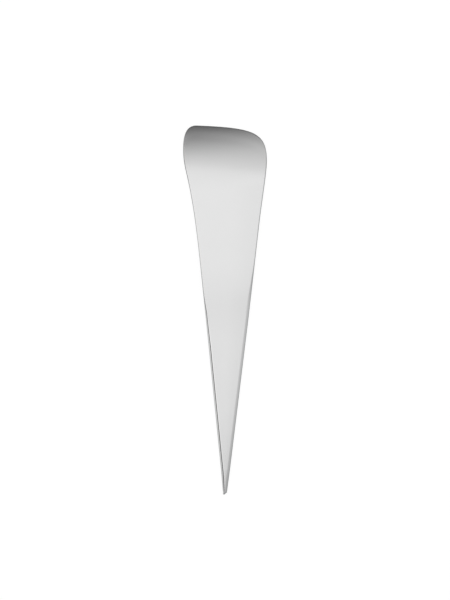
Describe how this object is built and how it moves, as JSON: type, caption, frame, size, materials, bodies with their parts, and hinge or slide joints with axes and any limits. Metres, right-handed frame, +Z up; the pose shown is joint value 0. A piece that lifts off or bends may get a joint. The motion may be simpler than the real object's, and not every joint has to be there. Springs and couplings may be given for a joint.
{
  "type": "cheese knife",
  "caption": "Steel cheese knife: a broad blade flared to one side with an end that curls up, on a long, flat, round-edged hollow handle that narrows to a point.",
  "frame": {"origin": "midway along the length and across the width, on the flat back that the knife lies on", "axes": "+Y from the point of the handle to the end of the blade, +X to the right as seen from the front, +Z up from the flat back towards the side that the end curls to"},
  "size_m": [0.05, 0.22, 0.0076],
  "materials": {
    "blade_steel": "satin, finely brushed along the blade",
    "handle_steel": "satin, finely brushed along the handle",
    "filler": "cast, matt"
  },
  "bodies": {
    "root": {"blade": "blade_steel", "handle_front": "handle_steel", "handle_back": "handle_steel", "handle_tip": "handle_steel", "handle_filler": "filler"}
  },
  "joints": []
}
